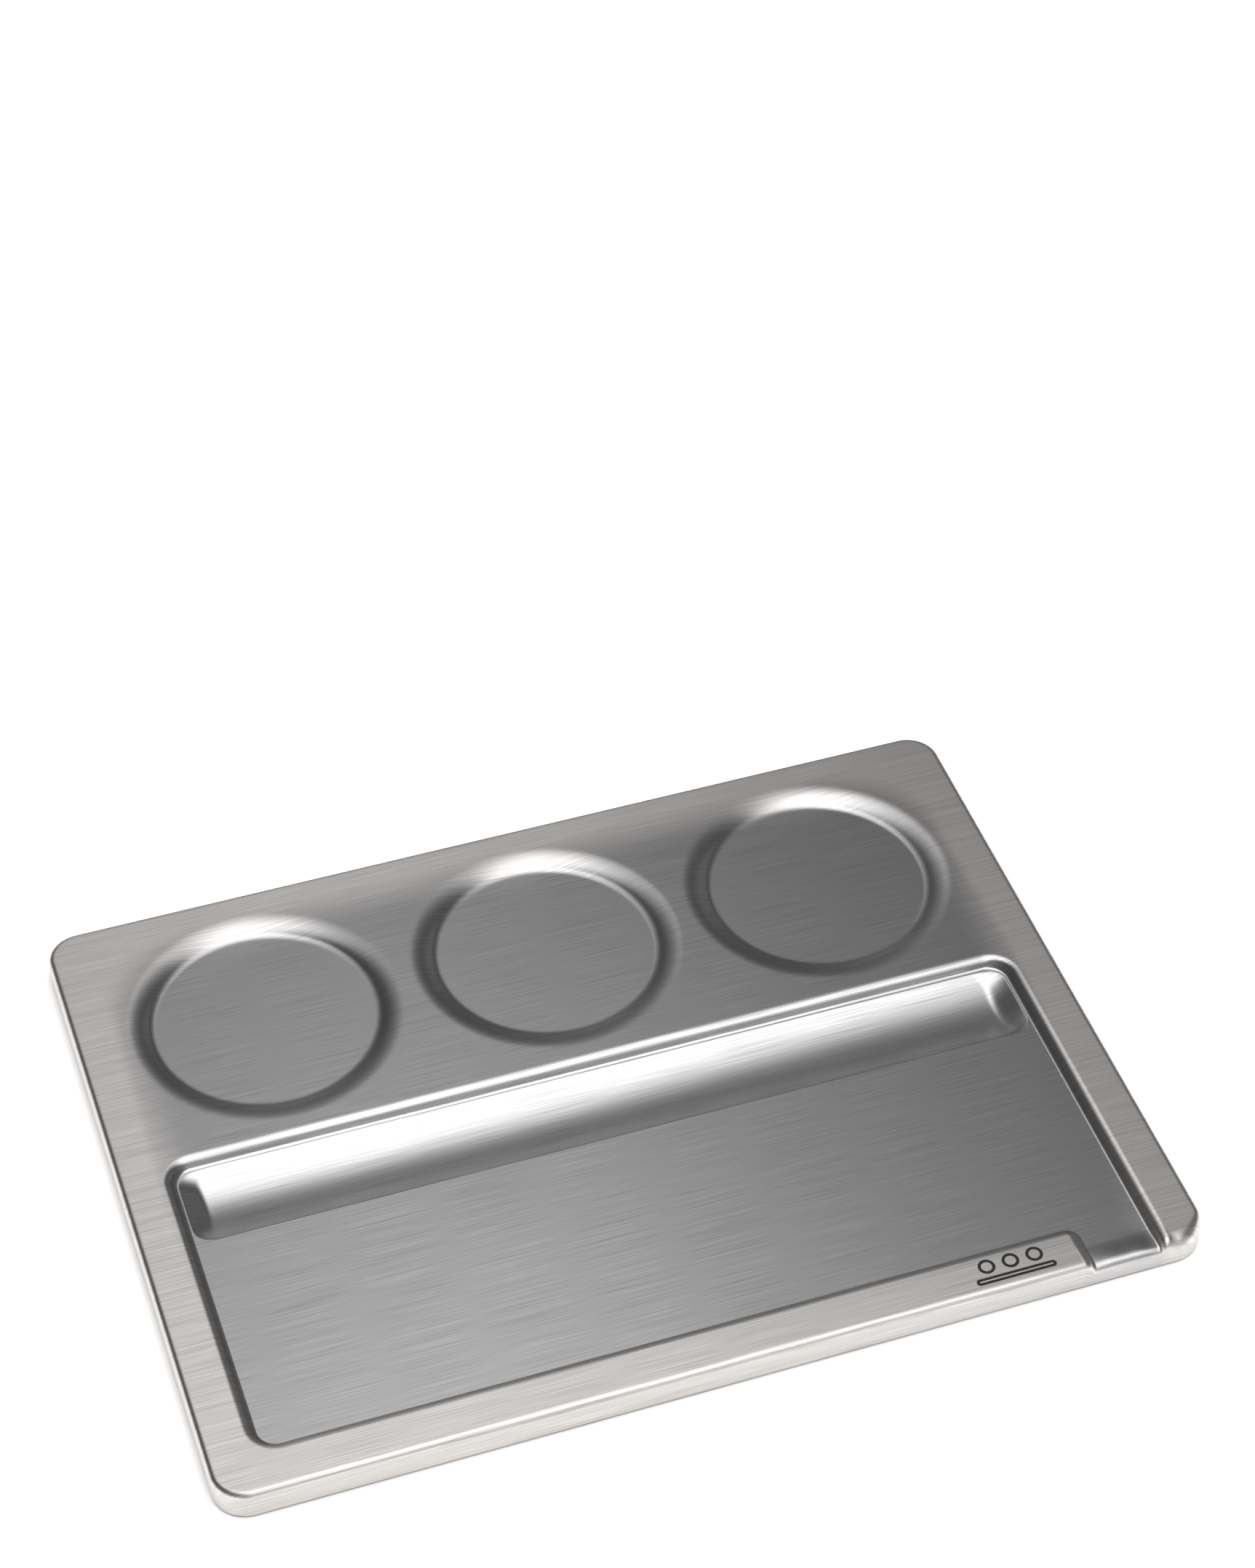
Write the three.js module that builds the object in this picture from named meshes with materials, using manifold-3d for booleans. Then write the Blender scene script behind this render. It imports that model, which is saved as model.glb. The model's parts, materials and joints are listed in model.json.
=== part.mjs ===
// A pressed stainless-steel sorting tray: one sheet drawn into a low pan that stands on its skirt side
// up, with three round seats along the back, a sunken work area with a half-round trough along its
// back edge, and a pouring spout through the front rim. Four rubber feet on adhesive tape discs stand
// in the corners under the rim.
//
// Frame: +X to the right along the tray, +Y to the back, +Z up. The origin is the centre of the
// tray's footprint on the surface that its feet stand on. All sizes are in millimetres.
import * as THREE from "three";
import { mergeVertices } from "three/addons/utils/BufferGeometryUtils.js";
import Module from "manifold-3d";

const wasm = await Module();
wasm.setup();

// ---------- Driving dimensions ----------

// The pressing as a whole
const trayLength = 288; // left to right
const trayWidth = 216; // front to back
const skirtHeight = 9; // from the skirt's cut edge up to the flat top
const sheet = 0.8; // thickness of the steel
const outerCorner = 10; // plan radius of the tray's corners
const edgeRoll = 1.8; // outer radius of the bend between the top and the skirt

// Round seats along the back
const seatCount = 3;
const seatFloorDiameter = 65.4; // flat floor of a seat
const seatDepth = 2.6;
const seatFillet = 4.4; // radius where the floor turns up
const seatRoll = 12.1; // radius where the wall rolls over onto the top
const seatSideMargin = 14.8; // flat left between the outer seats' roll-over and the tray's ends
const seatBackMargin = 8.9; // flat left between the seats' roll-over and the tray's back edge

// Sunken work area
const rimWidth = 12; // flat rim left, right and front of it, out to the tray's edge
const bridgeWidth = 3.9; // flat bridge between the seats' roll-over and the work area's
const workDepth = 3;
const workFloorCorner = 5.4; // plan radius of the floor's corners
const workFillet = 1.2;
const workRoll = 3.1;

// Trough along the back of the work area
const troughWidth = 26;
const troughDepth = 3.8; // below the work area's floor
const troughEndRun = 6; // plan length of each sloping end
const troughLedge = 0.3; // floor left between the trough and the wall behind it and at its ends

// Pouring spout through the front rim, in line with the work area's right wall
const spoutWidth = 27; // between the tops of its two roll-overs
const lipRoll = 2.2; // radius where its floor rolls over the front edge

// Feet: turned rubber pegs on tape discs, under the rim in the four corners
const footLift = 0.8; // gap that they hold open under the skirt
const footClearance = 1.1; // between a foot and the steel on each side of it
const footTaper = 0.6; // how much smaller in radius a foot is at its lower end
const footEdge = 0.5; // rounding of its lower edge
const tapeThickness = 0.5;
const tapeInset = 0.4; // how far the tape stays inside the foot's edge

// How finely the round stretches are drawn
const cornerSteps = 7; // faces in a quarter turn of a rounded corner
const seatSteps = 11; // faces in a quarter turn of a round seat
const footSteps = 7;
const bendSteps = 4; // faces across a fillet or a roll-over
const troughSteps = 12; // faces across the trough
const reach = 3; // how far a cutting form runs on past the faces it cuts

// ---------- Levels and places worked out from them ----------

const top = footLift + skirtHeight;
const workFloor = top - workDepth;

// A pressed wall goes down in an S: a roll-over, then a fillet, with a plumb stretch between them
// only where the two bends are too small for the depth.
function pressedWall(depth, fillet, roll) {
  const bends = fillet + roll;
  const angle = Math.acos(Math.max(0, 1 - depth / bends));
  return { depth, fillet, roll, angle, run: bends * Math.sin(angle) };
}

const seatWall = pressedWall(seatDepth, seatFillet, seatRoll);
const workWall = pressedWall(workDepth, workFillet, workRoll);

const seatRim = seatFloorDiameter / 2 + seatWall.run;
const seatRowY = trayWidth / 2 - seatBackMargin - seatRim;
const seatRowEnd = trayLength / 2 - seatSideMargin - seatRim;
const seatPitch = (2 * seatRowEnd) / (seatCount - 1);

const workLeft = rimWidth - trayLength / 2;
const workRight = -workLeft;
const workFront = rimWidth - trayWidth / 2;
const workBack = seatRowY - seatRim - bridgeWidth;
const workRimCorner = workFloorCorner + workWall.run;

const troughBack = workBack - workWall.run - troughLedge;
const troughMiddle = troughBack - troughWidth / 2;
const troughEnd = workRight - workWall.run - troughLedge;

const footTop = top - sheet - tapeThickness;
const footRadius = (rimWidth - sheet) / 2 - footClearance;
const footX = trayLength / 2 - (rimWidth + sheet) / 2;
const footY = trayWidth / 2 - outerCorner;

// ---------- Making and joining solids ----------

// A closed three.js geometry as a solid that can be joined and cut.
function solid(geometry) {
  geometry.deleteAttribute("normal");
  geometry.deleteAttribute("uv");
  const merged = mergeVertices(geometry);
  return new wasm.Manifold(
    new wasm.Mesh({
      numProp: 3,
      vertProperties: new Float32Array(merged.attributes.position.array),
      triVerts: new Uint32Array(merged.index.array),
    }),
  );
}

// A joined or cut solid as a geometry for a mesh.
function geometryOf(made) {
  const mesh = made.getMesh();
  const positions = new Float32Array(mesh.vertProperties);
  return new THREE.BufferGeometry()
    .setAttribute("position", new THREE.BufferAttribute(positions, 3))
    .setIndex(new THREE.BufferAttribute(new Uint32Array(mesh.triVerts), 1))
    .toNonIndexed();
}

// A profile of (distance out, height) points turned about the Z axis. Its four quarters then move
// apart to the corners of a rectangle, which leaves straight sides between round corners.
function turned(profile, steps, halfX = 0, halfY = 0) {
  const columns = 4 * steps;
  const half = Math.PI / columns;
  const geometry = new THREE.LatheGeometry(profile, columns, half);
  geometry.rotateX(Math.PI / 2);
  const spot = geometry.getAttribute("position");
  const grow = 1 / Math.cos(half); // sets the flats, not the edges, at the stated distance
  for (let i = 0; i < spot.count; i++) {
    const x = spot.getX(i);
    const y = spot.getY(i);
    const onAxis = Math.hypot(x, y) < 1e-6;
    spot.setX(i, onAxis ? 0 : x * grow + Math.sign(x) * halfX);
    spot.setY(i, onAxis ? 0 : y * grow + Math.sign(y) * halfY);
  }
  return geometry;
}

// Points along an arc, from one angle to the other, counted from straight down.
function arc(centreOut, centreUp, radius, from, to, steps) {
  const points = [];
  for (let i = 0; i <= steps; i++) {
    const angle = from + ((to - from) * i) / steps;
    const out = centreOut + radius * Math.sin(angle);
    points.push(new THREE.Vector2(out, centreUp - radius * Math.cos(angle)));
  }
  return points;
}

// An outline drawn across the tray (Y, Z) and drawn out along X between two places.
function alongX(outline, from, to) {
  const shape = new THREE.Shape(outline);
  const geometry = new THREE.ExtrudeGeometry(shape, { depth: to - from, bevelEnabled: false });
  const turn = new THREE.Matrix4().makeBasis(
    new THREE.Vector3(0, 1, 0),
    new THREE.Vector3(0, 0, 1),
    new THREE.Vector3(1, 0, 0),
  );
  return geometry.applyMatrix4(turn).translate(from, 0, 0);
}

// An outline drawn along the tray (X, Z) and drawn out across it, down from the back.
function alongY(outline, from, to) {
  const shape = new THREE.Shape(outline);
  const geometry = new THREE.ExtrudeGeometry(shape, { depth: from - to, bevelEnabled: false });
  const turn = new THREE.Matrix4().makeBasis(
    new THREE.Vector3(1, 0, 0),
    new THREE.Vector3(0, 0, 1),
    new THREE.Vector3(0, -1, 0),
  );
  return geometry.applyMatrix4(turn).translate(0, from, 0);
}

// ---------- The pressing's skins ----------
// Each form below is made twice: with inset 0 it bounds the upper skin of the sheet, and with the
// sheet's thickness as inset it bounds the underside, so the steel is equally thick all over.

// The blank pan: straight skirt, round plan corners and a rolled top edge.
function pan(inset) {
  const roll = edgeRoll - inset;
  const rolled = arc(outerCorner - edgeRoll, top - edgeRoll, roll, Math.PI / 2, Math.PI, bendSteps);
  const bottom = inset > 0 ? footLift - reach : footLift;
  const profile = [
    new THREE.Vector2(0, bottom),
    new THREE.Vector2(outerCorner - inset, bottom),
    ...rolled,
    new THREE.Vector2(0, top - inset),
  ];
  const halfX = trayLength / 2 - outerCorner;
  const halfY = trayWidth / 2 - outerCorner;
  return solid(turned(profile, cornerSteps, halfX, halfY));
}

// A drawn pocket: flat floor, S-shaped wall that rolls over onto the top, and clear space above.
function pocket(wall, floorRadius, inset, steps, halfX = 0, halfY = 0) {
  const floor = top - wall.depth;
  const rimRadius = floorRadius + wall.run;
  const fillet = wall.fillet + inset;
  const roll = wall.roll - inset;
  const over = Math.PI + wall.angle;
  const profile = [
    new THREE.Vector2(0, floor - inset),
    ...arc(floorRadius, floor + wall.fillet, fillet, 0, wall.angle, bendSteps),
    ...arc(rimRadius, top - wall.roll, roll, over, Math.PI, bendSteps),
    new THREE.Vector2(rimRadius, top + reach),
    new THREE.Vector2(0, top + reach),
  ];
  return solid(turned(profile, steps, halfX, halfY));
}

function seat(inset, x) {
  const radius = seatFloorDiameter / 2;
  return pocket(seatWall, radius, inset, seatSteps).translate([x, seatRowY, 0]);
}

// A pocket with the work area's wall, given by where its roll-overs begin.
function workPocket(inset, left, right, front, back) {
  const halfX = (right - left) / 2 - workRimCorner;
  const halfY = (back - front) / 2 - workRimCorner;
  const made = pocket(workWall, workFloorCorner, inset, cornerSteps, halfX, halfY);
  return made.translate([(left + right) / 2, (front + back) / 2, 0]);
}

function workArea(inset) {
  return workPocket(inset, workLeft, workRight, workFront, workBack);
}

// The spout is one more such pocket. It starts within the work area and runs out past the front.
function spout(inset) {
  const inside = workFront + 3 * workRimCorner;
  const outside = -trayWidth / 2 - 2 * workRimCorner;
  return workPocket(inset, workRight - spoutWidth, workRight, outside, inside);
}

// What the bend at the spout's lip takes off the square front edge of its floor.
function lip(inset) {
  const middleY = lipRoll - trayWidth / 2;
  const middleZ = workFloor - lipRoll;
  const radius = lipRoll - inset;
  const outline = [
    ...arc(middleY, middleZ, radius, Math.PI, 1.5 * Math.PI, bendSteps),
    new THREE.Vector2(middleY - radius - reach, middleZ),
    new THREE.Vector2(middleY - radius - reach, middleZ + radius + reach),
    new THREE.Vector2(middleY, middleZ + radius + reach),
  ];
  const side = workWall.run - workFillet + inset;
  return solid(alongX(outline, workRight - spoutWidth + side, workRight - side));
}

// The trough: a round channel, cut to length by two sloping ends and to the floor's own outline.
function trough(inset) {
  const half = troughWidth / 2;
  const radius = (half * half + troughDepth * troughDepth) / (2 * troughDepth);
  const axisZ = workFloor - troughDepth + radius;
  const spread = Math.acos((radius - troughDepth + inset) / (radius + inset));
  const channel = arc(troughMiddle, axisZ, radius + inset, -spread, spread, troughSteps);
  const ceiling = workFloor + workDepth / 2;
  channel.push(new THREE.Vector2(channel[troughSteps].x, ceiling));
  channel.push(new THREE.Vector2(channel[0].x, ceiling));

  const slope = Math.atan2(troughDepth, troughEndRun);
  const shift = inset / Math.sin(slope);
  const endAt = (z) => troughEnd + shift - (workFloor - z) / Math.tan(slope);
  const low = workFloor - troughDepth - reach;
  const high = ceiling + reach;
  const ends = [
    new THREE.Vector2(-endAt(low), low),
    new THREE.Vector2(endAt(low), low),
    new THREE.Vector2(endAt(high), high),
    new THREE.Vector2(-endAt(high), high),
  ];
  const outline = [
    new THREE.Vector2(0, low),
    new THREE.Vector2(workFloorCorner + inset, low),
    new THREE.Vector2(workFloorCorner + inset, high),
    new THREE.Vector2(0, high),
  ];
  const halfX = workRight - workRimCorner;
  const halfY = (workBack - workFront) / 2 - workRimCorner;
  const floorPlan = solid(turned(outline, cornerSteps, halfX, halfY));
  return solid(alongX(channel, workLeft, workRight))
    .intersect(solid(alongY(ends, workBack, workBack - troughWidth - 2 * reach)))
    .intersect(floorPlan.translate([0, (workFront + workBack) / 2, 0]));
}

function skin(inset) {
  let made = pan(inset);
  for (let i = 0; i < seatCount; i++) {
    made = made.subtract(seat(inset, i * seatPitch - seatRowEnd));
  }
  return made
    .subtract(workArea(inset))
    .subtract(trough(inset))
    .subtract(spout(inset))
    .subtract(lip(inset));
}

// ---------- Materials ----------

const brushedSteel = new THREE.MeshStandardMaterial({
  color: "#a9a7a3",
  roughness: 0.38,
  metalness: 1,
});
const footRubber = new THREE.MeshStandardMaterial({
  color: "#26272a",
  roughness: 0.85,
  metalness: 0,
});
const whiteTape = new THREE.MeshStandardMaterial({
  color: "#dcd8cc",
  roughness: 0.7,
  metalness: 0,
});

// ---------- Pieces ----------

function piece(name, geometry, material) {
  const mesh = new THREE.Mesh(geometry, material);
  mesh.name = name;
  return mesh;
}

function footGeometry() {
  const foot = footRadius - footTaper;
  const profile = [
    new THREE.Vector2(0, 0),
    ...arc(foot - footEdge, footEdge, footEdge, 0, Math.PI / 2, bendSteps),
    new THREE.Vector2(footRadius, footTop),
    new THREE.Vector2(0, footTop),
  ];
  return turned(profile, footSteps);
}

function tapeGeometry() {
  const profile = [
    new THREE.Vector2(0, 0),
    new THREE.Vector2(footRadius - tapeInset, 0),
    new THREE.Vector2(footRadius - tapeInset, tapeThickness),
    new THREE.Vector2(0, tapeThickness),
  ];
  return turned(profile, footSteps);
}

const tray = new THREE.Group();
tray.add(piece("pressed_tray", geometryOf(skin(0).subtract(skin(sheet))), brushedSteel));

const corners = [
  ["front_left", -1, -1],
  ["front_right", 1, -1],
  ["back_left", -1, 1],
  ["back_right", 1, 1],
];
for (const [corner, sideX, sideY] of corners) {
  const support = new THREE.Group();
  support.position.set(sideX * footX, sideY * footY, 0);
  support.add(piece("foot_" + corner, footGeometry(), footRubber));
  const tape = piece("foot_tape_" + corner, tapeGeometry(), whiteTape);
  tape.position.z = footTop;
  support.add(tape);
  tray.add(support);
}

export default tray;
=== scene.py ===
import json
import math

import bmesh
import bpy
import numpy as np
from bpy.props import FloatProperty, FloatVectorProperty, PointerProperty
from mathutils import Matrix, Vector
from mathutils.geometry import delaunay_2d_cdt


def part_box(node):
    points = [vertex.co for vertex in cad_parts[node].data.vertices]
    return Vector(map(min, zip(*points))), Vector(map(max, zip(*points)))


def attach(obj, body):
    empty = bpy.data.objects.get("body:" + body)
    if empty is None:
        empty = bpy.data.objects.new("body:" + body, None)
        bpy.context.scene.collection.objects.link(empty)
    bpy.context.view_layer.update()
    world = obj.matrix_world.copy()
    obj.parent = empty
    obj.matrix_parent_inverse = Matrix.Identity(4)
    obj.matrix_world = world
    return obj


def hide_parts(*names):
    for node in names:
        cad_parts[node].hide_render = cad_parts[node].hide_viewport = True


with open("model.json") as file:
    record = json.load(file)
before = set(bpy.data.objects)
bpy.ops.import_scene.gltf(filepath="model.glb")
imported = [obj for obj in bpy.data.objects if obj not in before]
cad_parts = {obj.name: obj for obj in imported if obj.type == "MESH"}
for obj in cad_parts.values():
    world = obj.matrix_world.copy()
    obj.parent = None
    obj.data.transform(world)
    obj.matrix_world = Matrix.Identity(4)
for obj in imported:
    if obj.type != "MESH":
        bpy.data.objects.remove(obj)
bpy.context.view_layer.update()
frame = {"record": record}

bl_info = {
    "name": "Pressed Steel Sorting Tray",
    "version": (1, 0, 0),
    "blender": (4, 5, 0),
    "location": "3D View > Sidebar > Sorting Tray",
    "description": "Builds a brushed-steel sorting tray, its feet, its printed mark and a studio stage",
    "category": "Add Mesh",
}

MM = 0.001  # sizes below are written in millimetres and kept in metres

# ---------------------------------------------------------------------------------------------
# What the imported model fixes
# ---------------------------------------------------------------------------------------------

TRAY_LOW, TRAY_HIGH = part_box("pressed_tray")
MOUNTS = {mount["name"]: Vector(mount["pos_m"]) for mount in frame["record"]["mounts"]}
SEAT_PLACES = [MOUNTS[name] for name in ("seat_left", "seat_middle", "seat_right")]
CORNERS = ("front_left", "front_right", "back_left", "back_right")
FOOT_LOW, FOOT_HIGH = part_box("foot_back_right")
TAPE_LOW, TAPE_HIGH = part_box("foot_tape_back_right")
FOOT_PLACE = (FOOT_LOW + FOOT_HIGH) / 2
WORK_BACK = 12 * MM  # where the work area's roll-over begins, behind the middle of the tray

# ---------------------------------------------------------------------------------------------
# Fixed values of the finish, the printed mark, the studio and the camera
# ---------------------------------------------------------------------------------------------

ROLL_STEPS, FILLET_STEPS = 12, 7  # rows of mesh along the two bends of a pressed wall
SEAT_MARGIN = 0.5 * MM  # how far outside its bends the first and last rings round a seat stand
TROUGH_SOFTNESS = 0.3  # how much the slope of a trough's end is rounded off, as a share of its length
CORNER_EASE_SPAN = (-3.5 * MM, 1.5 * MM)  # where the eased bend grows, from the work area's side
SKIRT_ROWS = (0.04, 0.5, 0.96, 1.0)  # rows of mesh down the skirt, as shares of its height
# Length and width in millimetres, detail, and share in the mix, of each layer of the steel's grain.
# Real scratches are about 0.05 mm wide: the finest drawn here are 0.25 mm, so that they show.
GRAIN = {
    "bands": (80, 0.6, 2.0, 0.25),
    "scratches": (30, 0.25, 2.0, 1.3),
    "clouds": (90, 8, 1.0, 0.07),
}
RIM_ROUGHNESS_AND_SHEEN_CORNER = 45 * MM  # plan radius at the corners of the rim's patch of higher roughness and painted sheen, a lighter colour painted on for the brighter reflection there
RIM_ROUGHNESS_AND_SHEEN_IN = (24 * MM, 5 * MM)  # where that rougher patch with its lighter painted colour starts, and where it is full
RIM_ROUGHNESS_AND_SHEEN_ON_SKIRT = 15 * MM  # how much further in the skirt counts, so that the rim's roughness and painted sheen fade there and the skirt is painted darker, a painted shade
SHARP_ANGLE = math.radians(50)  # bends steeper than this between two faces stay sharp

MARK_PLACE = Vector((86 * MM, -100.9 * MM))
MARK_THICKNESS = 0.03 * MM
MARK_GAP = 0.005 * MM  # keeps the ink's underside clear of the steel
RING_PITCH, RING_UP, RING_OUTER, RING_INNER = 7.2 * MM, 1.7 * MM, 2.5 * MM, 1.6 * MM
BAR_DOWN = 3 * MM

CAMERA_AIM = Vector((48.764, 124.987, 0.38)) * MM
CAMERA_AZIMUTH, CAMERA_ELEVATION = math.radians(-18.65), math.radians(44.23)
CAMERA_DISTANCE = 1197.91 * MM
SOFTBOX_PLACE = (0.2, -0.53)
SOFTBOX_TURN = math.radians(25.6)
# Two sheets of light, one smaller: a softbox is brighter in its middle than at its edge.
SOFTBOX_SHEETS = {"inner": (1.5, 0.85, 1.9), "outer": (1.51, 1.43, 2.6)}  # height, width, length
PANEL_PLACE, PANEL_SIZE = (1.4, 0.6, 0.6), (1.4, 0.8)
ROOM_DARK, ROOM_FRONT = 0.085, 0.3  # how bright the room is in the steel: all round, and in front
ROOM_TOP = 2.4  # how bright the room is for matt things, straight overhead
BACKDROP = (0.95, 0.95, 0.95, 1)  # what the camera sees past the floor


def srgb(text):
    """A colour written as sRGB hex, as the linear RGB that a shader takes."""
    parts = [int(text[i : i + 2], 16) / 255 for i in (1, 3, 5)]
    return tuple(p / 12.92 if p <= 0.04045 else ((p + 0.055) / 1.055) ** 2.4 for p in parts)


# ---------------------------------------------------------------------------------------------
# What a user would change
# ---------------------------------------------------------------------------------------------


def length(name, description, millimetres):
    return FloatProperty(
        name=name, description=description, default=millimetres * MM, min=0.0, unit="LENGTH",
        precision=5,
    )


def colour(name, description, text):
    return FloatVectorProperty(
        name=name, description=description, default=srgb(text), size=3, min=0.0, max=1.0,
        subtype="COLOR",
    )


class PressingSizes(bpy.types.PropertyGroup):
    """Bends and pockets of the pressed sheet."""

    sheet: length("Sheet", "Thickness of the steel", 0.8)
    corner: length("Corner", "Plan radius of the tray's corners", 10)
    edge_roll: length("Edge roll", "Radius of the bend between the top and the skirt", 1.8)
    seat_floor: length("Seat floor", "Diameter of a round seat's flat floor", 65.4)
    seat_fillet: length("Seat fillet", "Radius where a seat's floor turns up", 4.4)
    seat_roll: length("Seat roll-over", "Radius where a seat's wall rolls onto the top", 12.1)
    rim: length("Rim", "Flat rim left, right and in front of the work area", 12)
    work_depth: length("Work depth", "Depth of the work area's floor below the top", 3)
    work_corner: length("Work corner", "Plan radius of the work area's floor", 5.4)
    work_fillet: length("Work fillet", "Radius where the work area's floor turns up", 1.2)
    work_roll: length("Work roll-over", "Radius where the work area's wall rolls onto the top", 3.1)
    post_corner: length("Post corner", "Plan radius of the rim's corner beside the spout", 0.5)
    trough_width: length("Trough width", "Width of the trough at the work area's floor", 26)
    trough_depth: length("Trough depth", "Depth of the trough below the work area's floor", 3.8)
    trough_end: length("Trough end", "Plan length of each sloping end of the trough", 6)
    trough_ledge: length("Trough ledge", "Floor left between the trough and the wall behind it", 0.3)
    spout_width: length("Spout width", "Width of the spout between its two roll-overs", 27)
    lip_crest: length("Lip crest", "How far the middle of the spout's floor swells up at its lip", 0.9)
    lip_ease: length("Lip ease", "How much larger the edge's bend is at the middle of the lip", 0.8)
    corner_ease: length("Corner ease", "How much larger that bend is at the corner by the spout", 2.2)


class FinishColours(bpy.types.PropertyGroup):
    """Colours of the tray's finishes."""

    steel: colour("Steel", "Brushed stainless steel, along the crests of the grain", "#d3d2d2")
    steel_shade: colour("Steel shade", "Brushed stainless steel, down in the grain", "#abaaaa")
    # The rim's two colours are the same steel painted lighter: a painted sheen for the brighter
    # reflection on the rim.
    rim: colour("Rim", "The same steel on the rim, along the crests of the grain", "#e6e3e0")
    rim_shade: colour("Rim shade", "The same steel on the rim, down in the grain", "#bebbb9")
    ink: colour("Ink", "Printed mark on the front rim", "#1b1a1a")
    rubber: colour("Rubber", "Moulded feet", "#242527")
    tape: colour("Tape", "Adhesive discs above the feet", "#dcd8cc")


class StageSettings(bpy.types.PropertyGroup):
    """Floor, light and camera."""

    floor: colour("Floor", "Plain pale floor", "#f6f5f4")
    softbox_power: FloatProperty(
        name="Overhead power", description="Power of the overhead softbox", default=20.5, min=0.0,
        unit="POWER",
    )
    panel_power: FloatProperty(
        name="Side power", description="Power of the dim panel on the right", default=0.39, min=0.0,
        unit="POWER",
    )
    focal_length: FloatProperty(
        name="Focal length", description="Focal length of the camera", default=0.08606, unit="CAMERA"
    )


# ---------------------------------------------------------------------------------------------
# Node trees and meshes
# ---------------------------------------------------------------------------------------------


def add_node(tree, kind, settings=None, links=None):
    """Adds one node. Its settings are set first, and each input then takes a link or a plain value."""
    node = tree.nodes.new(kind)
    for name, value in (settings or {}).items():
        setattr(node, name, value)
    for socket, source in (links or {}).items():
        if isinstance(source, bpy.types.Node):
            source = source.outputs[0]
        if isinstance(source, bpy.types.NodeSocket):
            tree.links.new(source, node.inputs[socket])
        else:
            node.inputs[socket].default_value = source
    return node


def new_group(name, inputs, outputs):
    """An empty geometry node group with named sockets. Returns it with its input and output nodes."""
    tree = bpy.data.node_groups.new(name, "GeometryNodeTree")
    for label, kind, in_out in [(*i, "INPUT") for i in inputs] + [(*o, "OUTPUT") for o in outputs]:
        tree.interface.new_socket(label, in_out=in_out, socket_type=kind)
    start = add_node(tree, "NodeGroupInput")
    end = add_node(tree, "NodeGroupOutput")
    return tree, start, end


def link_object(name, mesh):
    piece = bpy.data.objects.new(name, mesh)
    bpy.context.scene.collection.objects.link(piece)
    return piece


def run_tree(piece, tree, values):
    """Gives the piece a geometry nodes modifier, and sets each of its named inputs."""
    modifier = piece.modifiers.new(tree.name, "NODES")
    modifier.node_group = tree
    for item in tree.interface.items_tree:
        if item.in_out == "INPUT" and item.name in values:
            modifier[item.identifier] = values[item.name]
    return modifier


def settle(piece):
    """Turns the piece's evaluated result into its plain mesh, with no modifier left on it."""
    bpy.context.view_layer.update()
    evaluated = piece.evaluated_get(bpy.context.evaluated_depsgraph_get())
    mesh = bpy.data.meshes.new_from_object(evaluated)
    piece.modifiers.clear()
    piece.data = mesh
    mesh.name = piece.name
    return mesh


def finish_piece(piece, slot, *nodes):
    """Ties a piece to the tray's body, and hides the named imported parts. The slot argument is not
    used. Ink has no finish slot of its own, and is left without one.
    """
    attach(piece, "root")
    if nodes:
        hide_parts(*nodes)


# ---------------------------------------------------------------------------------------------
# Materials
# ---------------------------------------------------------------------------------------------


def new_material(name):
    material = bpy.data.materials.new(name)
    material.use_nodes = True
    material.node_tree.nodes.clear()
    return material, material.node_tree


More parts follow.
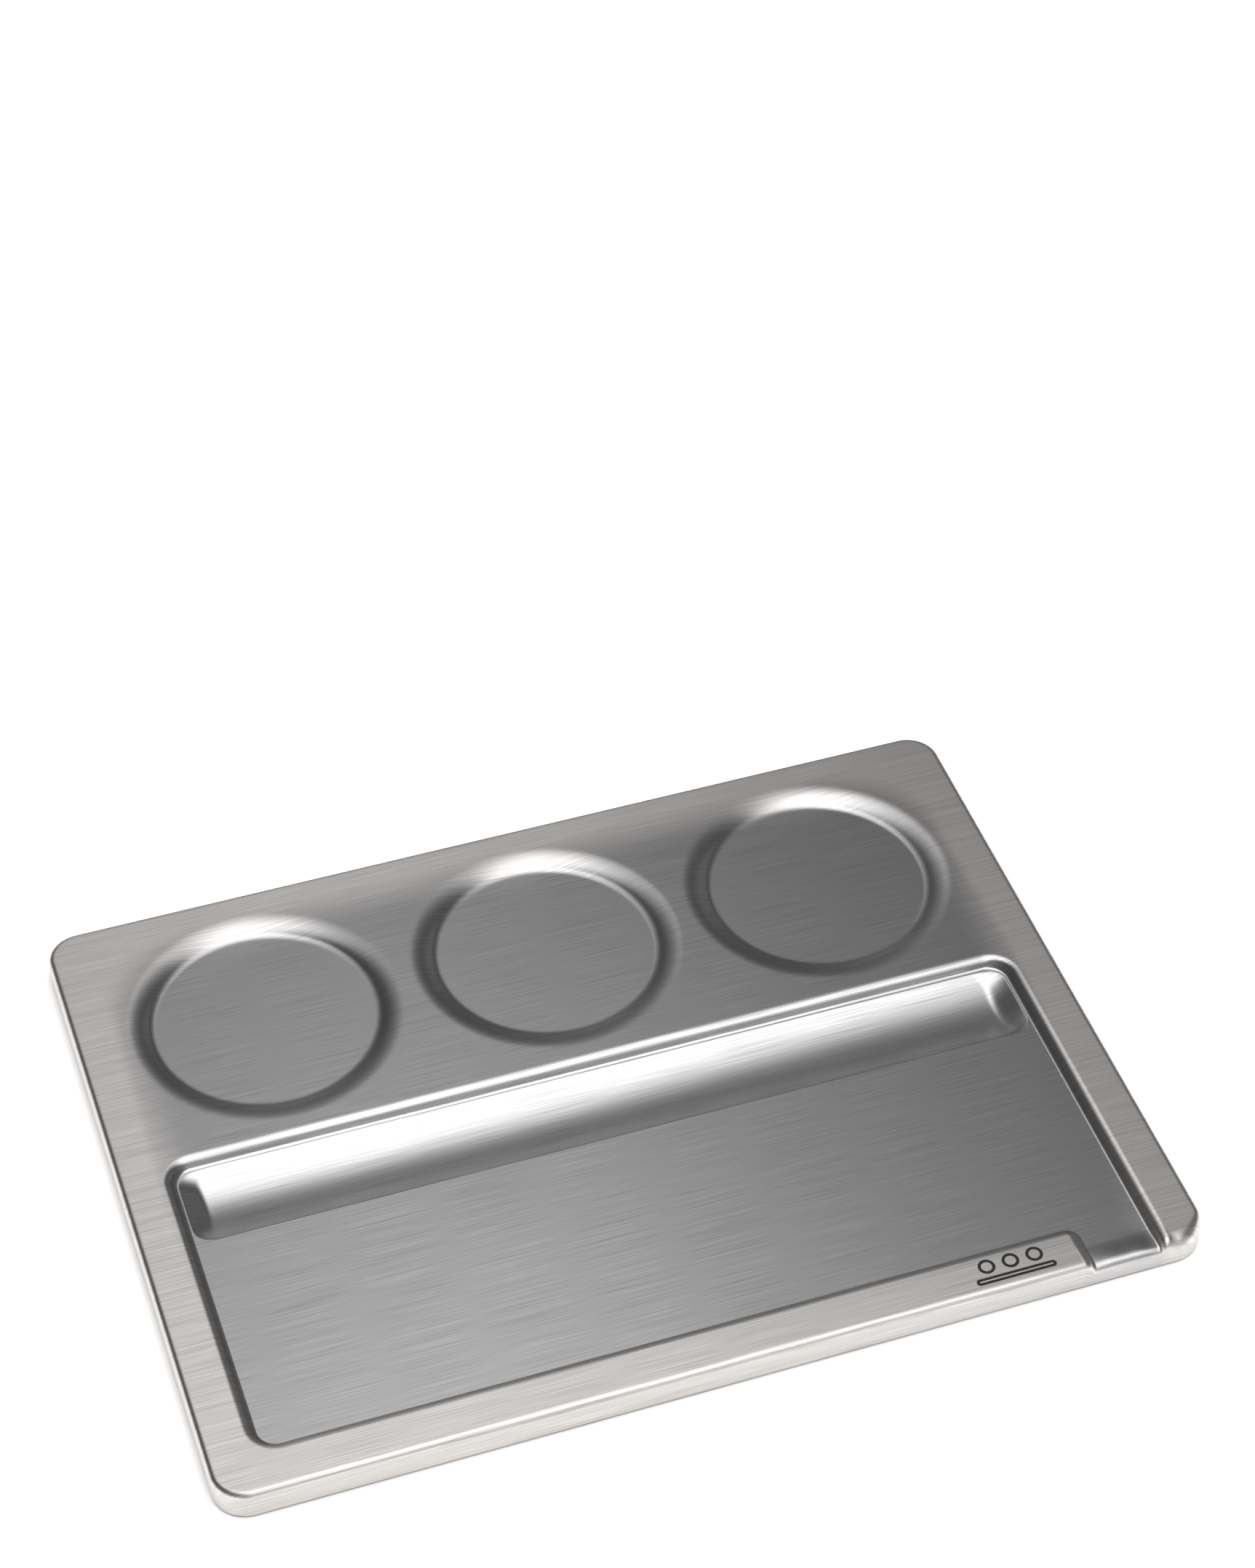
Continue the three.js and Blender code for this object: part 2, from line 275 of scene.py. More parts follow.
def brushed_stainless_steel(colours):
    """Stainless sheet brushed with a belt along the tray's length before it was pressed. The fine
    straight scratches spread each reflection across the grain, so the bends carry long soft bands."""
    material, tree = new_material("stainless_steel_brushed")
    unrolled = add_node(tree, "ShaderNodeUVMap", {"uv_map": "grain"})
    layers, mixed = {}, 0.0
    for name, (long_mm, wide_mm, detail, share) in GRAIN.items():
        stretch = add_node(
            tree, "ShaderNodeMapping", None,
            {"Vector": unrolled, "Scale": (1 / (long_mm * MM), 1 / (wide_mm * MM), 1.0)},
        )
        layers[name] = add_node(
            tree, "ShaderNodeTexNoise", None,
            {"Vector": stretch, "Scale": 1.0, "Detail": detail, "Roughness": 0.6},
        )
        mixed = add_node(
            tree, "ShaderNodeMath", {"operation": "MULTIPLY_ADD"}, {0: layers[name], 1: share, 2: mixed}
        )
    shade = add_node(
        tree, "ShaderNodeMapRange", None, {"Value": mixed, "From Min": 0.55, "From Max": 1.07}
    )
    rough = add_node(
        tree, "ShaderNodeMapRange", None,
        {"Value": shade.outputs["Result"], "To Min": 0.33, "To Max": 0.3},
    )
    near = add_node(tree, "ShaderNodeAttribute", {"attribute_name": "rim_in"})
    rim = add_node(
        tree, "ShaderNodeMapRange", {"interpolation_type": "SMOOTHSTEP"},
        {"Value": near.outputs["Fac"], "From Min": RIM_ROUGHNESS_AND_SHEEN_IN[0], "From Max": RIM_ROUGHNESS_AND_SHEEN_IN[1]},
    )
    rough = add_node(
        tree, "ShaderNodeMath", {"operation": "MULTIPLY_ADD"}, {0: rim, 1: 0.1, 2: rough}
    )
    # The rim is painted lighter than the sunken parts: a painted sheen for the brighter reflection the
    # rim shows. The steel itself is the same.
    tints = [
        add_node(
            tree, "ShaderNodeMix", {"data_type": "RGBA"},
            {"Factor": shade.outputs["Result"], 6: (*low, 1), 7: (*high, 1)},
        )
        for low, high in ((colours.steel_shade, colours.steel), (colours.rim_shade, colours.rim))
    ]
    tint = add_node(
        tree, "ShaderNodeMix", {"data_type": "RGBA"},
        {"Factor": rim.outputs["Result"], 6: tints[0].outputs[2], 7: tints[1].outputs[2]},
    )
    bump = add_node(
        tree, "ShaderNodeBump", None,
        {"Height": layers["scratches"], "Strength": 0.08, "Distance": 0.02 * MM},
    )
    along = add_node(tree, "ShaderNodeTangent", {"direction_type": "UV_MAP", "uv_map": "grain"})
    steel = add_node(
        tree, "ShaderNodeBsdfPrincipled", None,
        {
            "Base Color": tint.outputs[2],
            "Metallic": 1.0,
            "Roughness": rough,
            "Anisotropic": 0.75,
            "Anisotropic Rotation": 0.25,  # scratches along the tangent spread light across it
            "Normal": bump,
            "Tangent": along,
        },
    )
    add_node(tree, "ShaderNodeOutputMaterial", None, {"Surface": steel})
    return material


def textured_material(name, kind, grain_mm, detail, rough, sockets, bump=None):
    """A material whose roughness follows one texture. Its bump does too, if a strength is given."""
    material, tree = new_material(name)
    place = add_node(tree, "ShaderNodeTexCoord")
    texture = add_node(
        tree, kind, None,
        {"Vector": place.outputs["Object"], "Scale": 1 / (grain_mm * MM), "Detail": detail},
    )
    rough = add_node(
        tree, "ShaderNodeMapRange", None, {"Value": texture, "To Min": rough[0], "To Max": rough[1]}
    )
    sockets = {**sockets, "Roughness": rough}
    if bump:
        sockets["Normal"] = add_node(
            tree, "ShaderNodeBump", None, {"Height": texture, "Strength": bump, "Distance": 0.05 * MM}
        )
    surface = add_node(tree, "ShaderNodeBsdfPrincipled", None, sockets)
    add_node(tree, "ShaderNodeOutputMaterial", None, {"Surface": surface})
    return material


def printed_ink(colours):
    """Black pad-printed epoxy ink: flat and faintly uneven, a little duller than the steel round it."""
    return textured_material(
        "epoxy_ink_printed", "ShaderNodeTexNoise", 0.8, 2.0, (0.35, 0.55),
        {"Base Color": (*colours.ink, 1), "IOR": 1.5},
    )


def moulded_rubber(colours):
    """Black moulded nitrile rubber: matt, with the fine pits that a spark-eroded mould leaves."""
    return textured_material(
        "nitrile_rubber_moulded", "ShaderNodeTexNoise", 0.4, 3.0, (0.65, 0.9),
        {"Base Color": (*colours.rubber, 1), "IOR": 1.52}, bump=0.4,
    )


def foam_tape(colours):
    """Off-white closed-cell acrylic foam tape: soft, matt and faintly cellular at its cut edge."""
    return textured_material(
        "acrylic_foam_tape_cut", "ShaderNodeTexVoronoi", 0.25, 0.0, (0.7, 0.9),
        {"Base Color": (*colours.tape, 1), "IOR": 1.47}, bump=0.3,
    )


def matt_floor(settings):
    """Seamless matt paper: pale, with no gloss, so that only the tray's soft shadow shows on it."""
    return textured_material(
        "background_paper_matt", "ShaderNodeTexNoise", 3, 2.0, (0.9, 1.0),
        {"Base Color": (*settings.floor, 1), "Specular IOR Level": 0.0},
    )


# ---------------------------------------------------------------------------------------------
# Plan of the pressing: rings along every bend, seen from above
# ---------------------------------------------------------------------------------------------


def arc(centre, radius, start, end, steps):
    """Points round a centre, from one angle in degrees to another."""
    turns = np.radians(np.linspace(start, end, steps + 1))
    return [(centre[0] + radius * math.cos(t), centre[1] + radius * math.sin(t)) for t in turns]


def wall_run(depth, fillet, roll):
    """Plan width and steepest angle of an S-shaped pressed wall."""
    angle = math.acos(max(0.0, 1 - depth / (fillet + roll)))
    return (fillet + roll) * math.sin(angle), angle


def wall_insets(depth, fillet, roll, margin):
    """Distances in from where a wall's roll-over begins, for the rings that follow its bends. The
    first and last stand just outside the bends, and keep the flats beside them truly flat."""
    run, angle = wall_run(depth, fillet, roll)
    down = [roll * math.sin(angle * i / ROLL_STEPS) for i in range(ROLL_STEPS + 1)]
    out = [run - fillet * math.sin(angle * i / FILLET_STEPS) for i in range(FILLET_STEPS)]
    return [-margin, *down, *out[::-1], run + margin]


class TrayPlan:
    """The pressing seen from above: its fixed lines, and how far in from them any point lies."""

    def __init__(self, sizes):
        self.sizes = sizes
        self.right = TRAY_HIGH.x
        self.back = TRAY_HIGH.y
        self.seat_depth = TRAY_HIGH.z - SEAT_PLACES[0].z
        run, _ = wall_run(self.seat_depth, sizes.seat_fillet, sizes.seat_roll)
        self.seat_rim = sizes.seat_floor / 2 + run
        self.work_run, _ = wall_run(sizes.work_depth, sizes.work_fillet, sizes.work_roll)
        self.work_right = self.right - sizes.rim
        self.work_front = sizes.rim - self.back
        self.work_rim_corner = sizes.work_corner + self.work_run
        self.spout_left = self.work_right - sizes.spout_width
        self.lip_start = self.work_front - 3 * MM
        self.lip_end = sizes.edge_roll + sizes.lip_ease - self.back
        half = sizes.trough_width / 2
        self.trough_middle = WORK_BACK - self.work_run - sizes.trough_ledge - half
        self.trough_radius = (half**2 + sizes.trough_depth**2) / (2 * sizes.trough_depth)
        self.trough_reach = self.work_right - self.work_run - sizes.trough_ledge
        self.trough_corner = sizes.work_corner - sizes.trough_ledge
        self.lines = []

    # How far in a point lies

    def edge_in(self, x, y):
        """From the tray's outline."""
        r = self.sizes.corner
        a = np.maximum(r - (self.right - np.abs(x)), 0)
        b = np.maximum(r - (self.back - np.abs(y)), 0)
        inner = np.minimum(self.right - np.abs(x), self.back - np.abs(y))
        return np.where((a > 0) & (b > 0), r - np.hypot(a, b), inner)

    def rim_in(self, x, y):
        """From the tray's outline, taken more and more roundly at its corners. It grows steeply down
        the work area's wall, so that the rim's higher roughness and its lighter painted colour, a
        painted sheen, stop there."""
        r = RIM_ROUGHNESS_AND_SHEEN_CORNER
        short_x = np.maximum(r - (self.right - np.abs(x)), 0)
        short_y = np.maximum(r - (self.back - np.abs(y)), 0)
        return r - np.hypot(short_x, short_y) + 4 * np.maximum(self.work_in(x, y), 0)

    def seat_in(self, x, y):
        """From the nearest seat's rim, positive inside it."""
        reach = [np.hypot(x - p.x, y - p.y) for p in SEAT_PLACES]
        return self.seat_rim - np.minimum.reduce(reach)

    def work_in(self, x, y):
        """From the rim of the work area and its spout, positive inside them."""
        post = self.sizes.post_corner
        past_x = x - (self.spout_left - post)
        past_y = y - (self.work_front - post)
        outside = np.hypot(np.maximum(past_x, 0), np.maximum(past_y, 0)) - post
        inside = np.maximum(past_x, past_y) - post
        front = np.where((past_x > 0) | (past_y > 0), outside, inside)
        r = self.work_rim_corner
        walls = [front, x + self.work_right, self.work_right - x, WORK_BACK - y]
        return r - np.sqrt(sum(np.maximum(r - wall, 0) ** 2 for wall in walls))

    def trough_round(self, y):
        """How far the trough's rounded corners pull its ends in, at each distance across it."""
        r = self.trough_corner
        side = self.sizes.trough_width / 2 - np.abs(y - self.trough_middle)
        short = np.clip(r - side, 0, r)
        return r - np.sqrt(r**2 - short**2)

    def trough_in(self, x, y):
        """From the trough's ends, along its length."""
        return self.trough_reach - np.abs(x) - self.trough_round(y)

    # The lines

    def add(self, points, closed=False):
        self.lines.append((points, closed))

    def add_edge_rings(self, steps, corner_steps):
        roll = self.sizes.edge_roll
        insets = [roll * (1 - math.sin(math.pi / 2 * i / steps)) for i in range(steps + 1)]
        on_rim = [roll + step * MM for step in (5, 4, 3, 2.5, 2, 1.5, 1, 0.5)]
        for inset in [*on_rim, *insets]:
            r = self.sizes.corner - inset
            x, y = self.right - self.sizes.corner, self.back - self.sizes.corner
            ring = []
            for i, (sx, sy) in enumerate(((1, 1), (-1, 1), (-1, -1), (1, -1))):
                ring += arc((sx * x, sy * y), r, 90 * i, 90 * i + 90, corner_steps)
            self.add(ring, closed=True)

    def add_seat_rings(self, round_steps):
        sizes = self.sizes
        insets = wall_insets(self.seat_depth, sizes.seat_fillet, sizes.seat_roll, SEAT_MARGIN)
        for place in SEAT_PLACES:
            for inset in insets:
                ring = arc((place.x, place.y), self.seat_rim - inset, 0, 360, round_steps)
                self.add(ring[:-1], closed=True)

    def add_work_lines(self, corner_steps):
        sizes = self.sizes
        insets = wall_insets(
            sizes.work_depth, sizes.work_fillet, sizes.work_roll, sizes.trough_ledge / 2
        )
        for inset in insets:
            r = self.work_rim_corner - inset
            post = sizes.post_corner + inset
            far_x = self.work_right - self.work_rim_corner
            front = self.work_front + self.work_rim_corner
            back = WORK_BACK - self.work_rim_corner
            post_place = (self.spout_left - sizes.post_corner, self.work_front - sizes.post_corner)
            line = [(self.spout_left + inset, -self.back)]
            line += arc(post_place, post, 0, 90, corner_steps)
            line += arc((-far_x, front), r, 270, 180, corner_steps)
            line += arc((-far_x, back), r, 180, 90, corner_steps)
            line += arc((far_x, back), r, 90, 0, corner_steps)
            line += [(self.work_right - inset, -self.back)]
            self.add(line)

    def add_lip_lines(self, steps):
        """A grid of lines over the spout, for the swell of its floor and its lip to follow."""
        left, right = self.spout_left - 1 * MM, self.work_right + 2 * MM
        for y in np.linspace(self.lip_start, self.lip_end, steps + 1):
            self.add([(left, y), (right, y)])
        for x in np.linspace(left, right, 2 * steps + 1):
            self.add([(x, self.lip_start), (x, -self.back)])

    def add_trough_lines(self, steps, corner_steps, end_steps):
        """Lines along the trough, and lines over its two ends that follow their slope. Two more run in
        front of it, and keep the floor beside its front edge truly flat."""
        half = self.sizes.trough_width / 2
        for gap in (0.4 * MM, 1.0 * MM):
            front = self.trough_middle - half - gap
            self.add([(-self.trough_reach - 1 * MM, front), (self.trough_reach + 1 * MM, front)])
        spread = math.asin(half / self.trough_radius)
        across = [self.trough_radius * math.sin(spread * i / steps) for i in range(-steps, steps + 1)]
        turn = [
            half - self.trough_corner * (1 - math.cos(math.radians(90 * i / corner_steps)))
            for i in range(corner_steps + 1)
        ]
        stations = np.array(sorted({round(v, 7) for v in [*across, *turn, *(-t for t in turn)]}))
        y = self.trough_middle + stations
        pulled = self.trough_round(y)
        for place, short in zip(y, pulled):
            x = self.trough_reach - short
            self.add([(-x, place), (x, place)])
        levelled = 1 + TROUGH_SOFTNESS  # the slope has run out here, as a share of its plain length
        insets = [i * levelled / end_steps * self.sizes.trough_end for i in range(end_steps + 1)]
        insets.insert(0, -0.15 * MM)
        for side in (-1, 1):
            for inset in insets:
                self.add([(side * (self.trough_reach - s - inset), p) for s, p in zip(pulled, y)])

    def mesh(self, name):
        """All the lines joined into one flat mesh, with its skirt still folded up under its outline."""
        self.add_edge_rings(steps=12, corner_steps=20)
        self.add_seat_rings(round_steps=120)
        self.add_work_lines(corner_steps=16)
        self.add_lip_lines(steps=12)
        self.add_trough_lines(steps=16, corner_steps=10, end_steps=15)
        points, edges = [], []
        for line, closed in self.lines:
            first = len(points)
            points += [Vector((float(x), float(y))) for x, y in line]
            edges += [(first + i, first + i + 1) for i in range(len(line) - 1)]
            if closed:
                edges.append((len(points) - 1, first))
        spots, _, faces, *_ = delaunay_2d_cdt(points, edges, [], 0, 2e-6)
        mesh = bpy.data.meshes.new(name)
        mesh.from_pydata([(p.x, p.y, 0) for p in spots], [], faces)
        return mesh


def add_skirt(mesh, plan):
    """Folds out rings for the skirt below the outline, and marks how far down it each one lies."""
    form = bmesh.new()
    form.from_mesh(mesh)
    down = form.verts.layers.float.new("skirt_down")
    grain = form.loops.layers.uv.new("grain")
    loop = [e for e in form.edges if e.is_boundary]
    for row in SKIRT_ROWS:
        made = bmesh.ops.extrude_edge_only(form, edges=loop)["geom"]
        for v in made:
            if isinstance(v, bmesh.types.BMVert):
                v[down] = row
        loop = [e for e in made if isinstance(e, bmesh.types.BMEdge) and e.is_boundary]
    skirt = TRAY_HIGH.z - TRAY_LOW.z
    for face in form.faces:
        for corner in face.loops:
            x, y, _ = corner.vert.co
            # Beyond the outline, the unrolled sheet runs on straight out by as much as it goes down.
            core = Vector((
                max(-plan.right + plan.sizes.corner, min(plan.right - plan.sizes.corner, x)),
                max(-plan.back + plan.sizes.corner, min(plan.back - plan.sizes.corner, y)),
            ))
            out = Vector((x, y)) - core
            if out.length > 0:
                out.normalize()
            corner[grain].uv = Vector((x, y)) + out * skirt * corner.vert[down]
    form.to_mesh(mesh)
    form.free()


# ---------------------------------------------------------------------------------------------
# The press tool, as geometry nodes
# ---------------------------------------------------------------------------------------------


def pressed_wall_tree():
    """How far an S-shaped wall has gone down, at a distance in from where its roll-over begins."""
    names = ("In", "Depth", "Fillet", "Roll")
    tree, start, end = new_group(
        "pressed_wall", [(n, "NodeSocketFloat") for n in names], [("Down", "NodeSocketFloat")]
    )
    inside, depth, fillet, roll = (start.outputs[n] for n in names)
    bends = add_node(tree, "ShaderNodeMath", {"operation": "ADD"}, {0: fillet, 1: roll})
    share = add_node(tree, "ShaderNodeMath", {"operation": "DIVIDE"}, {0: depth, 1: bends})
    cosine = add_node(
        tree, "ShaderNodeMath", {"operation": "SUBTRACT", "use_clamp": True}, {0: 1.0, 1: share}
    )
    angle = add_node(tree, "ShaderNodeMath", {"operation": "ARCCOSINE"}, {0: cosine})
    sine = add_node(tree, "ShaderNodeMath", {"operation": "SINE"}, {0: angle})
    run = add_node(tree, "ShaderNodeMath", {"operation": "MULTIPLY"}, {0: bends, 1: sine})
    downs = []
    for radius, distance in ((roll, inside), (fillet, None)):
        if distance is None:
            distance = add_node(tree, "ShaderNodeMath", {"operation": "SUBTRACT"}, {0: run, 1: inside})
        widest = add_node(tree, "ShaderNodeMath", {"operation": "MULTIPLY"}, {0: radius, 1: sine})
        held = add_node(tree, "ShaderNodeMath", {"operation": "MAXIMUM"}, {0: distance, 1: 0.0})
        held = add_node(tree, "ShaderNodeMath", {"operation": "MINIMUM"}, {0: held, 1: widest})
        held = add_node(tree, "ShaderNodeMath", {"operation": "MULTIPLY"}, {0: held, 1: held})
        square = add_node(tree, "ShaderNodeMath", {"operation": "MULTIPLY"}, {0: radius, 1: radius})
        left = add_node(tree, "ShaderNodeMath", {"operation": "SUBTRACT"}, {0: square, 1: held})
        up = add_node(tree, "ShaderNodeMath", {"operation": "SQRT"}, {0: left})
        downs.append(add_node(tree, "ShaderNodeMath", {"operation": "SUBTRACT"}, {0: radius, 1: up}))
    over, under = downs
    low = add_node(tree, "ShaderNodeMath", {"operation": "SUBTRACT"}, {0: depth, 1: under})
    bend = add_node(tree, "ShaderNodeMath", {"operation": "MULTIPLY"}, {0: roll, 1: sine})
    past = add_node(tree, "ShaderNodeMath", {"operation": "GREATER_THAN"}, {0: inside, 1: bend})
    down = add_node(tree, "ShaderNodeMix", {"data_type": "FLOAT"}, {0: past, 2: over, 3: low})
    tree.links.new(down.outputs[0], end.inputs["Down"])
    return tree


def press_tree():
    """Raises the flat plan into the pressed sheet. Each point's distances in from the outline, the
    seats, the work area and the trough's ends come with the mesh, as attributes."""
    lengths = (
        "Top", "Skirt Foot", "Edge Roll", "Seat Depth", "Seat Fillet", "Seat Roll", "Work Depth",
        "Work Fillet", "Work Roll", "Half Spout", "Trough Middle", "Trough Radius", "Trough Depth",
        "Trough End", "Lip Crest", "Lip Ease", "Lip Start", "Lip End", "Corner Ease",
        "Work Right",
    )
    tree, start, end = new_group(
        "press_form",
        [("Geometry", "NodeSocketGeometry"), ("Steel", "NodeSocketMaterial")]
        + [(n, "NodeSocketFloat") for n in lengths],
        [("Geometry", "NodeSocketGeometry")],
    )
    size = start.outputs
    wall = pressed_wall_tree()
    near = {
        name: add_node(tree, "GeometryNodeInputNamedAttribute", {"data_type": "FLOAT"}, {"Name": name})
        for name in ("edge_in", "seat_in", "work_in", "trough_in", "skirt_down")
    }
    place = add_node(tree, "GeometryNodeInputPosition")
    place = add_node(tree, "ShaderNodeSeparateXYZ", None, {0: place})
    x, y = place.outputs["X"], place.outputs["Y"]

    seats = add_node(
        tree, "GeometryNodeGroup", {"node_tree": wall},
        {"In": near["seat_in"], "Depth": size["Seat Depth"], "Fillet": size["Seat Fillet"],
         "Roll": size["Seat Roll"]},
    )
    work = add_node(
        tree, "GeometryNodeGroup", {"node_tree": wall},
        {"In": near["work_in"], "Depth": size["Work Depth"], "Fillet": size["Work Fillet"],
         "Roll": size["Work Roll"]},
    )

    # The trough: a round channel that two sloping ends close
    across = add_node(
        tree, "ShaderNodeMath", {"operation": "SUBTRACT"}, {0: y, 1: size["Trough Middle"]}
    )
    across = add_node(tree, "ShaderNodeMath", {"operation": "MULTIPLY"}, {0: across, 1: across})
    radius = size["Trough Radius"]
    square = add_node(tree, "ShaderNodeMath", {"operation": "MULTIPLY"}, {0: radius, 1: radius})
    left = add_node(tree, "ShaderNodeMath", {"operation": "SUBTRACT"}, {0: square, 1: across})
    left = add_node(tree, "ShaderNodeMath", {"operation": "MAXIMUM"}, {0: left, 1: 0.0})
    channel = add_node(tree, "ShaderNodeMath", {"operation": "SQRT"}, {0: left})
    for operation, value in (("SUBTRACT", radius), ("ADD", size["Trough Depth"]), ("MAXIMUM", 0.0)):
        channel = add_node(tree, "ShaderNodeMath", {"operation": operation}, {0: channel, 1: value})
    ends = add_node(
        tree, "ShaderNodeMath", {"operation": "DIVIDE"}, {0: near["trough_in"], 1: size["Trough End"]}
    )
    ends = add_node(tree, "ShaderNodeMath", {"operation": "MAXIMUM"}, {0: ends, 1: 0.0})
    ends = add_node(
        tree, "ShaderNodeMath", {"operation": "SMOOTH_MIN"}, {0: ends, 1: 1.0, 2: TROUGH_SOFTNESS}
    )
    trough = add_node(tree, "ShaderNodeMath", {"operation": "MULTIPLY"}, {0: channel, 1: ends})

    # How far each point is into the arch of the spout's lip, where the floor swells up
    ahead = add_node(
        tree, "ShaderNodeMapRange", {"interpolation_type": "SMOOTHSTEP"},
        {"Value": y, "From Min": size["Lip Start"], "From Max": size["Lip End"]},
    )
    aside = add_node(
        tree, "ShaderNodeMapRange", None,
        {"Value": near["work_in"], "From Max": size["Half Spout"], "To Min": 1.0, "To Max": 0.0},
    )
    aside = add_node(tree, "ShaderNodeMath", {"operation": "MULTIPLY"}, {0: aside, 1: aside})
    arched = add_node(tree, "ShaderNodeMath", {"operation": "SUBTRACT"}, {0: 1.0, 1: aside})
    lip = add_node(tree, "ShaderNodeMath", {"operation": "MULTIPLY"}, {0: ahead, 1: arched})
    swell = add_node(tree, "ShaderNodeMath", {"operation": "MULTIPLY"}, {0: lip, 1: size["Lip Crest"]})

    # The bend from the top into the skirt, eased at the lip and at the corner beside it
    roll = add_node(
        tree, "ShaderNodeMath", {"operation": "MULTIPLY_ADD"},
        {0: lip, 1: size["Lip Ease"], 2: size["Edge Roll"]},
    )
    beside = add_node(
        tree, "ShaderNodeMath", {"operation": "SUBTRACT"}, {0: x, 1: size["Work Right"]}
    )
    beside = add_node(
        tree, "ShaderNodeMapRange", {"interpolation_type": "SMOOTHSTEP"},
        {"Value": beside, "From Min": CORNER_EASE_SPAN[0], "From Max": CORNER_EASE_SPAN[1]},
    )
    eased = add_node(tree, "ShaderNodeMath", {"operation": "MULTIPLY"}, {0: beside, 1: ahead})
    roll = add_node(
        tree, "ShaderNodeMath", {"operation": "MULTIPLY_ADD"},
        {0: eased, 1: size["Corner Ease"], 2: roll},
    )
    bare = add_node(tree, "ShaderNodeMath", {"operation": "SUBTRACT"}, {0: roll, 1: near["edge_in"]})
    bare = add_node(tree, "ShaderNodeMath", {"operation": "MAXIMUM"}, {0: bare, 1: 0.0})
    bare = add_node(tree, "ShaderNodeMath", {"operation": "MINIMUM"}, {0: bare, 1: roll})
    bare = add_node(tree, "ShaderNodeMath", {"operation": "MULTIPLY"}, {0: bare, 1: bare})
    square = add_node(tree, "ShaderNodeMath", {"operation": "MULTIPLY"}, {0: roll, 1: roll})
    left = add_node(tree, "ShaderNodeMath", {"operation": "SUBTRACT"}, {0: square, 1: bare})
    up = add_node(tree, "ShaderNodeMath", {"operation": "SQRT"}, {0: left})
    bend = add_node(tree, "ShaderNodeMath", {"operation": "SUBTRACT"}, {0: roll, 1: up})

    height = size["Top"]
    for down in (seats, work, trough, bend):
        height = add_node(tree, "ShaderNodeMath", {"operation": "SUBTRACT"}, {0: height, 1: down})
    height = add_node(tree, "ShaderNodeMath", {"operation": "ADD"}, {0: height, 1: swell})
    height = add_node(
        tree, "ShaderNodeMix", {"data_type": "FLOAT"},
        {0: near["skirt_down"], 2: height, 3: size["Skirt Foot"]},
    )
    spot = add_node(tree, "ShaderNodeCombineXYZ", None, {"X": x, "Y": y, "Z": height})
    formed = add_node(
        tree, "GeometryNodeSetPosition", None,
        {"Geometry": start.outputs["Geometry"], "Position": spot},
    )
    formed = add_node(tree, "GeometryNodeRealizeInstances", None, {"Geometry": formed})
    formed = add_node(
        tree, "GeometryNodeSetMaterial", None,
        {"Geometry": formed, "Material": start.outputs["Steel"]},
    )
    tree.links.new(formed.outputs[0], end.inputs["Geometry"])
    return tree


def four_corners_tree():
    """One copy of a turned piece at each of the four corners under the rim."""
    tree, start, end = new_group(
        "four_corners",
        [("Geometry", "NodeSocketGeometry"), ("Material", "NodeSocketMaterial"),
         ("Apart X", "NodeSocketFloat"), ("Apart Y", "NodeSocketFloat")],
        [("Geometry", "NodeSocketGeometry")],
    )
    grid = add_node(
        tree, "GeometryNodeMeshGrid", None,
        {"Size X": start.outputs["Apart X"], "Size Y": start.outputs["Apart Y"],
         "Vertices X": 2, "Vertices Y": 2},
    )
    copies = add_node(
        tree, "GeometryNodeInstanceOnPoints", None,
        {"Points": grid.outputs["Mesh"], "Instance": start.outputs["Geometry"]},
    )
    made = add_node(tree, "GeometryNodeRealizeInstances", None, {"Geometry": copies})
    made = add_node(
        tree, "GeometryNodeSetMaterial", None,
        {"Geometry": made, "Material": start.outputs["Material"]},
    )
    tree.links.new(made.outputs[0], end.inputs["Geometry"])
    return tree


def turned_mesh(name, profile, steps):
    """A closed mesh turned about Z from a profile that starts and ends on the axis."""
    form = bmesh.new()
    rings = []
    for out, up in profile:
        if out == 0:
            rings.append([form.verts.new((0, 0, up))])
        else:
            rings.append([form.verts.new((x, y, up)) for x, y in arc((0, 0), out, 0, 360, steps)[:-1]])
    for low, high in zip(rings, rings[1:]):
        for i in range(steps):
            a, b = low[i % len(low)], low[(i + 1) % len(low)]
            c, d = high[(i + 1) % len(high)], high[i % len(high)]
            form.faces.new(dict.fromkeys((a, b, c, d)))
    mesh = bpy.data.meshes.new(name)
    form.to_mesh(mesh)
    form.free()
    mesh.shade_smooth()
    return mesh


def place_at_corners(name, mesh, material):
    piece = link_object(name, mesh)
    tree = bpy.data.node_groups.get("four_corners") or four_corners_tree()
    run_tree(
        piece, tree,
        {"Material": material, "Apart X": 2 * FOOT_PLACE.x, "Apart Y": 2 * FOOT_PLACE.y},
    )
    made = settle(piece)
    made.set_sharp_from_angle(angle=SHARP_ANGLE)
    return piece


# ---------------------------------------------------------------------------------------------
# Operators
# ---------------------------------------------------------------------------------------------


